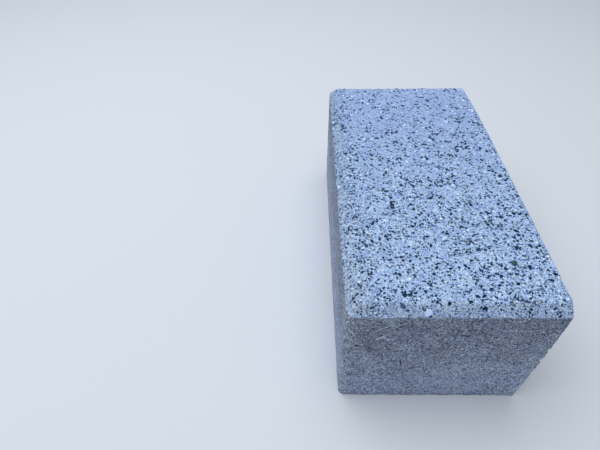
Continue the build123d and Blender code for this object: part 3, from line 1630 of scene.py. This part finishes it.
def chips_group(keep_inside: bpy.types.NodeTree) -> bpy.types.NodeTree:
    """Builds the tree part that turns points into angular chips bedded in a face.

    Args:
        keep_inside: The group that cuts the chips flush.

    Returns:
        A group that takes Points with their Facing and Size, Seed, Facets, Ragged, the limits and the
        Finish, and gives Geometry.
    """
    flattest, fullest = (0.85, 0.6, 0.42), (1.2, 0.95, 0.6)
    lump_share, sunk_share = 0.45, 0.06
    takes = {"Points": Kind.GEOMETRY, "Facing": Kind.VECTOR, "Size": Kind.NUMBER, **CHIP_TAKES}
    group, sheet, inside, outside = new_geometry_tree("bedded_chips", takes)
    shades, spins, stretches = (sheet.calc("ADD", inside["Seed"], stream) for stream in (1, 2, 3))

    # Each point passes its facing, its size and a shade on to its chip
    points = inside["Points"]
    kept = (
        ("facing", "FLOAT_VECTOR", inside["Facing"]),
        ("chip_size", "FLOAT", inside["Size"]),
        ("shade", "FLOAT", sheet.random(0.0, 1.0, shades)),
    )
    for name, kind, value in kept:
        feeds = {"Geometry": points, "Name": name, "Value": value}
        points = sheet.get("GeometryNodeStoreNamedAttribute", feeds, data_type=kind, domain="POINT")
    upright = sheet.get("FunctionNodeAlignRotationToVector", {"Vector": inside["Facing"]}, axis="Z")
    turn = {"Axis": (0, 0, 1), "Angle": sheet.random(0.0, math.tau, spins)}
    turns = {"Rotation": upright, "Rotate By": sheet.get("FunctionNodeAxisAngleToRotation", turn)}
    turned = sheet.get("FunctionNodeRotateRotation", turns, rotation_space="LOCAL")
    stretch = sheet.scaled(sheet.random(flattest, fullest, stretches, "FLOAT_VECTOR"), inside["Size"])
    chip = sheet.get("GeometryNodeMeshIcoSphere", {"Radius": 0.5, "Subdivisions": inside["Facets"]}, "Mesh")
    feeds = {"Points": points, "Instance": chip, "Rotation": turned, "Scale": stretch}
    strewn = sheet.get("GeometryNodeInstanceOnPoints", feeds)
    plain = sheet.get("GeometryNodeRealizeInstances", {"Geometry": strewn})

    # The chips are made ragged, sunk a little and cut flush
    size, facing = sheet.stored("chip_size"), sheet.stored("facing", "FLOAT_VECTOR")
    position = sheet.get("GeometryNodeInputPosition")
    colour = sheet.noise(sheet.scaled(position, 1 / MM), sheet.product(size, lump_share / MM), 1.0, "Color")
    lumps = sheet.scaled(sheet.vectors("SUBTRACT", colour, MIDDLE), sheet.product(size, inside["Ragged"]))
    roughened = sheet.vectors("ADD", position, lumps)
    sunk = sheet.vectors("SUBTRACT", roughened, sheet.scaled(facing, sheet.product(size, sunk_share)))
    cut = use_group(sheet, keep_inside, Place=sunk, **{name: inside[name] for name in LIMITS})["Place"]
    bedded = sheet.get("GeometryNodeSetPosition", {"Geometry": plain, "Position": cut})
    dressed = sheet.get("GeometryNodeSetMaterial", {"Geometry": bedded, "Material": inside["Finish"]})
    sheet.feed(outside, "Geometry", dressed)
    return group


# A grain is at most this many times as large as its distance from the parted side, so that none sticks out
ROOM_FILL = 1.3

# Grains thin out between these distances from the parted side, in millimetres
ROOM_NEEDED = (0.3, 0.9)


def sowing_tree(chips: bpy.types.NodeTree) -> bpy.types.NodeTree:
    """Builds the geometry tree that strews chips over a face, closer together in some patches.

    Args:
        chips: The group that makes chips on points.

    Returns:
        The tree.
    """
    patch = 8.0
    front_share, back_share, chamfer_share = 1.08, 0.38, 0.35
    back_coarser = 1.5
    flat_enough = (0.75, 0.95)
    measures = ("Density", "Gather", "Smallest", "Largest", "Skew")
    takes = {"Geometry": Kind.GEOMETRY, **{name: Kind.NUMBER for name in measures}, **CHIP_TAKES}
    group, sheet, inside, outside = new_geometry_tree("sowing", takes)
    position = sheet.get("GeometryNodeInputPosition")
    drift = sheet.ramp(sheet.noise(sheet.scaled(position, 1 / MM), patch), *DRIFT_SPREAD)
    thinned = sheet.rest(sheet.product(inside["Gather"], sheet.rest(drift)))
    room = sheet.stored("room")
    clear = sheet.ramp(room, *(distance * MM for distance in ROOM_NEEDED))
    start, end = (sheet.parts(inside[name])[1] for name in ("Low", "High"))
    along = sheet.parts(position)[1]
    sparser = sheet.ramp(along, start, end, front_share, back_share)
    upright = sheet.parts(sheet.get("GeometryNodeInputNormal"))[2]
    on_top = sheet.ramp(upright, *flat_enough, chamfer_share, 1.0)
    density = sheet.product(inside["Density"], sheet.product(thinned, clear, sparser, on_top))
    feeds = {"Mesh": inside["Geometry"], "Density": density, "Seed": inside["Seed"]}
    strewn = sheet.add("GeometryNodeDistributePointsOnFaces", feeds, distribute_method="RANDOM")
    luck = sheet.random(0.0, 1.0, inside["Seed"])
    spread = sheet.calc("SUBTRACT", inside["Largest"], inside["Smallest"])
    wished = sheet.total(inside["Smallest"], sheet.product(spread, sheet.calc("POWER", luck, inside["Skew"])))
    coarser = sheet.ramp(along, start, end, 1.0, back_coarser)
    size = sheet.calc("MINIMUM", sheet.product(wished, coarser), sheet.product(room, ROOM_FILL))
    passed = {name: inside[name] for name in CHIP_TAKES}
    points, facing = strewn.outputs["Points"], strewn.outputs["Normal"]
    result = use_group(sheet, chips, Points=points, Facing=facing, Size=size, **passed)["Geometry"]
    sheet.feed(outside, "Geometry", result)
    return group


def placing_tree(chips: bpy.types.NodeTree) -> bpy.types.NodeTree:
    """Builds the geometry tree that makes a chip on each point of a mesh, as large as the point says.

    Args:
        chips: The group that makes chips on points.

    Returns:
        The tree.
    """
    group, sheet, inside, outside = new_geometry_tree("placing", {"Geometry": Kind.GEOMETRY, **CHIP_TAKES})
    points = sheet.get("GeometryNodeMeshToPoints", {"Mesh": inside["Geometry"]})
    facing, size = sheet.stored("facing", "FLOAT_VECTOR"), sheet.stored("size")
    passed = {name: inside[name] for name in CHIP_TAKES}
    result = use_group(sheet, chips, Points=points, Facing=facing, Size=size, **passed)["Geometry"]
    sheet.feed(outside, "Geometry", result)
    return group


@dataclass(frozen=True)
class Sowing:
    """How one kind of grain is strewn over the face, with sizes and areas in millimetres."""

    name: str
    density: float
    gather: float
    smallest: float
    largest: float
    skew: float
    facets: int
    seed: int
    ragged: float = 0.8


@dataclass(frozen=True)
class Landmarks:
    """Grains that can be told apart in the photograph: their pixels, by their width in millimetres."""

    name: str
    seed: int
    seen: dict[float, tuple[Pixel, ...]]
    facets: int = 2
    ragged: float = 0.9


class GrainKind(Enum):
    """The kinds of grain in the wearing face, by their finish."""

    BASALT = GrainFinish("basalt", (0.005, 0.016, 0.044), (0.018, 0.047, 0.115), paling=0.15)
    SLATE = GrainFinish("slate", (0.050, 0.083, 0.150), (0.095, 0.145, 0.240))
    QUARTZ = GrainFinish("quartz", (0.46, 0.63, 0.92), (0.66, 0.81, 0.99), roughness=0.4)
    SANDSTONE = GrainFinish("sandstone", (0.14, 0.16, 0.20), (0.30, 0.35, 0.43))
    GREENSTONE = GrainFinish("greenstone", (0.022, 0.062, 0.062), (0.048, 0.112, 0.098))
    PEBBLE = GrainFinish("milky_pebble", (0.36, 0.50, 0.80), (0.55, 0.72, 0.99), roughness=0.5)


SOWINGS = {
    GrainKind.BASALT: (
        Sowing("basalt_grains", 0.100, 0.80, 1.2, 2.3, 1.8, 1, 14),
        Sowing("fine_basalt_grains", 0.270, 0.70, 0.75, 1.4, 1.5, 1, 12),
    ),
    GrainKind.QUARTZ: (Sowing("quartz_grains", 0.050, 0.1, 0.7, 1.9, 2.0, 1, 23),),
    GrainKind.SANDSTONE: (Sowing("sandstone_grains", 0.001, 0.0, 0.9, 2.0, 1.5, 2, 37),),
}

LANDMARKS = {
    GrainKind.BASALT: Landmarks(
        "placed_basalt_grains",
        51,
        {
            2.7: ((405, 295), (530, 267), (516.5, 231), (497, 297.5), (431, 198), (555, 274)),
            2.2: (
                (501, 277), (410.5, 295), (498, 205), (546, 255),
                (551, 280), (548, 270), (392, 208), (519, 235),
            ),
            1.8: (
                (368, 235), (496, 260), (484, 267), (502, 282.5), (478, 296.5), (484.5, 296),
                (383, 258), (434, 274), (565, 283), (463, 227), (412, 109), (437, 97), (452, 174),
                (441, 186), (380, 165), (531, 309.5), (450, 303.5), (471, 290), (486.5, 309),
            ),
            1.5: (
                (362, 242), (357, 235), (353, 218), (393, 214), (388, 208), (435, 226), (449, 275),
                (489, 276), (469, 268), (471, 260), (496, 274), (525, 268), (541, 238), (522, 276),
                (481, 287), (493, 289), (472, 302), (481.5, 307.5), (532, 287), (408, 311), (394, 290),
                (380, 293), (390, 300), (351, 286), (355, 302), (372, 269), (369, 274.5), (420, 259),
                (427, 261), (385, 281), (391, 281), (354, 150), (350, 177), (364, 180), (389, 196),
                (424, 211), (463, 149), (456, 118), (374, 108),
            ),
        },
    ),
    GrainKind.SLATE: Landmarks(
        "placed_slate_grains",
        61,
        {2.6: ((457, 218.5), (468.5, 239.5), (402.8, 306.2)), 2.2: ((424.6, 309.4),)},
        ragged=0.6,
    ),
    GrainKind.QUARTZ: Landmarks("placed_quartz_grains", 71, {1.8: ((364, 304), (500, 295))}),
    GrainKind.SANDSTONE: Landmarks(
        "placed_sandstone_grains",
        81,
        {1.9: ((373, 245.5), (358, 289)), 1.5: ((533, 290), (513, 304), (488, 239))},
    ),
    GrainKind.GREENSTONE: Landmarks("placed_greenstone_grain", 97, {3.5: ((513.8, 263.2),)}, ragged=1.0),
    GrainKind.PEBBLE: Landmarks("placed_pebble", 96, {5.0: ((428.8, 313.2),)}, ragged=0.8),
}


@dataclass
class WearingFace:
    """The grains that show in the wearing face, on the finished block. Sizes are in millimetres."""

    block: bpy.types.Object
    stone: StoneBlock
    clearance: float = 0.03

    def __post_init__(self) -> None:
        """Works out how far the grains may reach and builds the trees."""
        margin = Vector((1, 1, 1)) * self.clearance
        self.limits = {
            "Low": (self.stone.low + margin) * MM,
            "High": (self.stone.high - margin) * MM,
            "Chamfer": self.stone.chamfer * MM,
        }
        chips = chips_group(inside_group())
        self.sow = sowing_tree(chips)
        self.place = placing_tree(chips)

    def ground(self) -> bpy.types.Mesh:
        """Copies the face and its chamfers out of the block's mesh, with the room beside each point.

        Returns:
            The copy.
        """
        source = self.block.data
        regions = np.zeros(len(source.polygons), dtype=np.int32)
        source.polygons.foreach_get("material_index", regions)
        corners = [tuple(source.polygons[i].vertices) for i in np.flatnonzero(regions == Region.FACE.value)]
        used = sorted({v for face in corners for v in face})
        renumbered = {old: new for new, old in enumerate(used)}
        mesh = bpy.data.meshes.new("face_ground")
        faces = [[renumbered[v] for v in face] for face in corners]
        mesh.from_pydata([source.vertices[v].co for v in used], [], faces)
        room = [self.room(v.co) for v in mesh.vertices]
        mesh.attributes.new("room", "FLOAT", "POINT").data.foreach_set("value", room)
        mesh.update()
        return mesh

    def room(self, place: Vector) -> float:
        """Measures how far a place is from the parted side, in metres."""
        x, y, z = place / MM
        return (self.stone.parted_side(y, z) - x) * MM

    def marked_points(self, landmarks: Landmarks) -> bpy.types.Mesh:
        """Finds where the photograph's landmarks are on the face.

        Args:
            landmarks: The landmarks of one kind.

        Returns:
            A mesh of points, each with the way it faces and its grain's size.
        """
        ground = self.ground()
        corners = [v.co for v in ground.vertices]
        tree = BVHTree.FromPolygons(corners, [tuple(p.vertices) for p in ground.polygons])
        hits, sizes = [], []
        for width, pixels in landmarks.seen.items():
            for pixel in pixels:
                place, facing, _, _ = tree.ray_cast(Vector(PHOTOGRAPH.eye) * MM, PHOTOGRAPH.ray(pixel))
                if place is not None:
                    hits.append((place, facing))
                    sizes.append(min(width * MM, self.room(place) * ROOM_FILL))
        mesh = bpy.data.meshes.new("landmarks")
        mesh.from_pydata([place for place, _ in hits], [], [])
        mesh.attributes.new("size", "FLOAT", "POINT").data.foreach_set("value", sizes)
        ways = np.array([tuple(facing) for _, facing in hits], dtype=np.float32).ravel()
        mesh.attributes.new("facing", "FLOAT_VECTOR", "POINT").data.foreach_set("vector", ways)
        bpy.data.meshes.remove(ground)
        return mesh

    def pieces(self) -> list[bpy.types.Object]:
        """Builds every kind of grain, strewn and placed, as one piece each.

        Returns:
            The finished pieces.
        """
        pieces = []
        for kind in GrainKind:
            finish = kind.value.material()
            for sowing in SOWINGS.get(kind, ()):
                values = {
                    "Density": sowing.density / MM**2,
                    "Gather": sowing.gather,
                    "Smallest": sowing.smallest * MM,
                    "Largest": sowing.largest * MM,
                    "Skew": sowing.skew,
                    "Facets": sowing.facets,
                    "Ragged": sowing.ragged,
                    "Seed": sowing.seed,
                }
                pieces.append(self.shaped(sowing.name, self.ground(), self.sow, finish, values))
            if kind in LANDMARKS:
                marks = LANDMARKS[kind]
                values = {"Facets": marks.facets, "Ragged": marks.ragged, "Seed": marks.seed}
                pieces.append(self.shaped(marks.name, self.marked_points(marks), self.place, finish, values))
        return pieces

    def shaped(
        self,
        name: str,
        mesh: bpy.types.Mesh,
        tree: bpy.types.NodeTree,
        finish: bpy.types.Material,
        values: dict[str, object],
    ) -> bpy.types.Object:
        """Makes one piece of grains with a geometry tree.

        Args:
            name: The piece's name.
            mesh: The ground or points that the tree starts from.
            tree: The geometry tree.
            finish: The grains' finish.
            values: The tree's own inputs by name.

        Returns:
            The finished piece.
        """
        grains = bpy.data.objects.new(name, mesh)
        bpy.context.scene.collection.objects.link(grains)
        shape_with(grains, tree, {**values, **self.limits, "Finish": finish})
        settle(grains)
        return grains


# Studio


@dataclass(frozen=True)
class Studio:
    """A plain pale floor under soft neutral light. Lengths are in metres, power in watts."""

    floor_half: float = 12.0
    floor_colour: Colour = (0.58, 0.63, 0.70)
    floor_roughness: float = 0.9
    floor_gloss: float = 0.1
    sky_colour: Colour = (1.0, 1.0, 1.0)
    sky_light: float = 0.37
    lamp_power: float = 13.0
    lamp_side: float = 1.2
    lamp_place: tuple[float, float, float] = (-0.25, 0.08, 1.05)

    def build(self) -> None:
        """Builds the floor, the lamp and the sky."""
        self.add_floor()
        self.add_lamp()
        self.add_sky()

    def add_floor(self) -> None:
        """Lays the floor at the level of the stone's bed."""
        half = self.floor_half
        corners = [(-half, -half, 0), (half, -half, 0), (half, half, 0), (-half, half, 0)]
        mesh = bpy.data.meshes.new("floor")
        mesh.from_pydata(corners, [], [(0, 1, 2, 3)])
        sheet = FinishSheet("pale_floor")
        sheet.feed(sheet.shader, "Base Color", self.floor_colour)
        sheet.set_matte(self.floor_roughness, self.floor_gloss)
        mesh.materials.append(sheet.material)
        floor = bpy.data.objects.new("floor", mesh)
        bpy.context.scene.collection.objects.link(floor)

    def add_lamp(self) -> None:
        """Hangs one large soft lamp over the stone."""
        data = bpy.data.lights.new("soft_lamp", "AREA")
        data.shape = "SQUARE"
        data.size = self.lamp_side
        data.energy = self.lamp_power
        lamp = bpy.data.objects.new("soft_lamp", data)
        lamp.location = self.lamp_place
        lamp.rotation_mode = "QUATERNION"
        lamp.rotation_quaternion = (-Vector(self.lamp_place)).to_track_quat("-Z", "Y")
        bpy.context.scene.collection.objects.link(lamp)

    def add_sky(self) -> None:
        """Surrounds the stone with an even dim light, which looks like the floor beyond the lamp's reach."""
        world = bpy.data.worlds.new("even_sky")
        bpy.context.scene.world = world
        world.use_nodes = True
        world.node_tree.nodes.clear()
        sheet = NodeSheet(world.node_tree)
        light, backdrop = (
            sheet.add("ShaderNodeBackground", {"Color": colour, "Strength": self.sky_light}).outputs[0]
            for colour in (self.sky_colour, self.floor_colour)
        )
        seen = sheet.add("ShaderNodeLightPath").outputs["Is Camera Ray"]
        mix = sheet.add("ShaderNodeMixShader", {0: seen, 1: light, 2: backdrop})
        sheet.add("ShaderNodeOutputWorld", {"Surface": mix.outputs[0]})


def report(piece: bpy.types.Object) -> None:
    """Logs a piece's name and how many triangles it has."""
    triangles = sum(len(p.vertices) - 2 for p in piece.data.polygons)
    log.info("%s: %d triangles", piece.name, triangles)


def main() -> None:
    """Builds the studio, the block and its grains, and logs how many triangles each piece has."""
    bpy.context.scene.view_settings.view_transform = "Standard"
    PHOTOGRAPH.make_camera()
    Studio().build()
    effects = Effects.build()
    low, high = (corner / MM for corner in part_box(STONE_NODE))
    finishes = {
        Region.FACE: BlastedFace().material(effects),
        Region.WALL: MouldedSkin(low.x, low.y).material(effects),
        Region.PARTED: OpenConcrete("parted_concrete").material(effects),
        Region.BED: OpenConcrete("bed_concrete", relief=0.3).material(effects),
    }
    stone = StoneBlock(low, high, finishes=finishes)
    block = stone.piece()
    report(block)
    for piece in WearingFace(block, stone).pieces():
        report(piece)


if __name__ == "__main__":
    main()
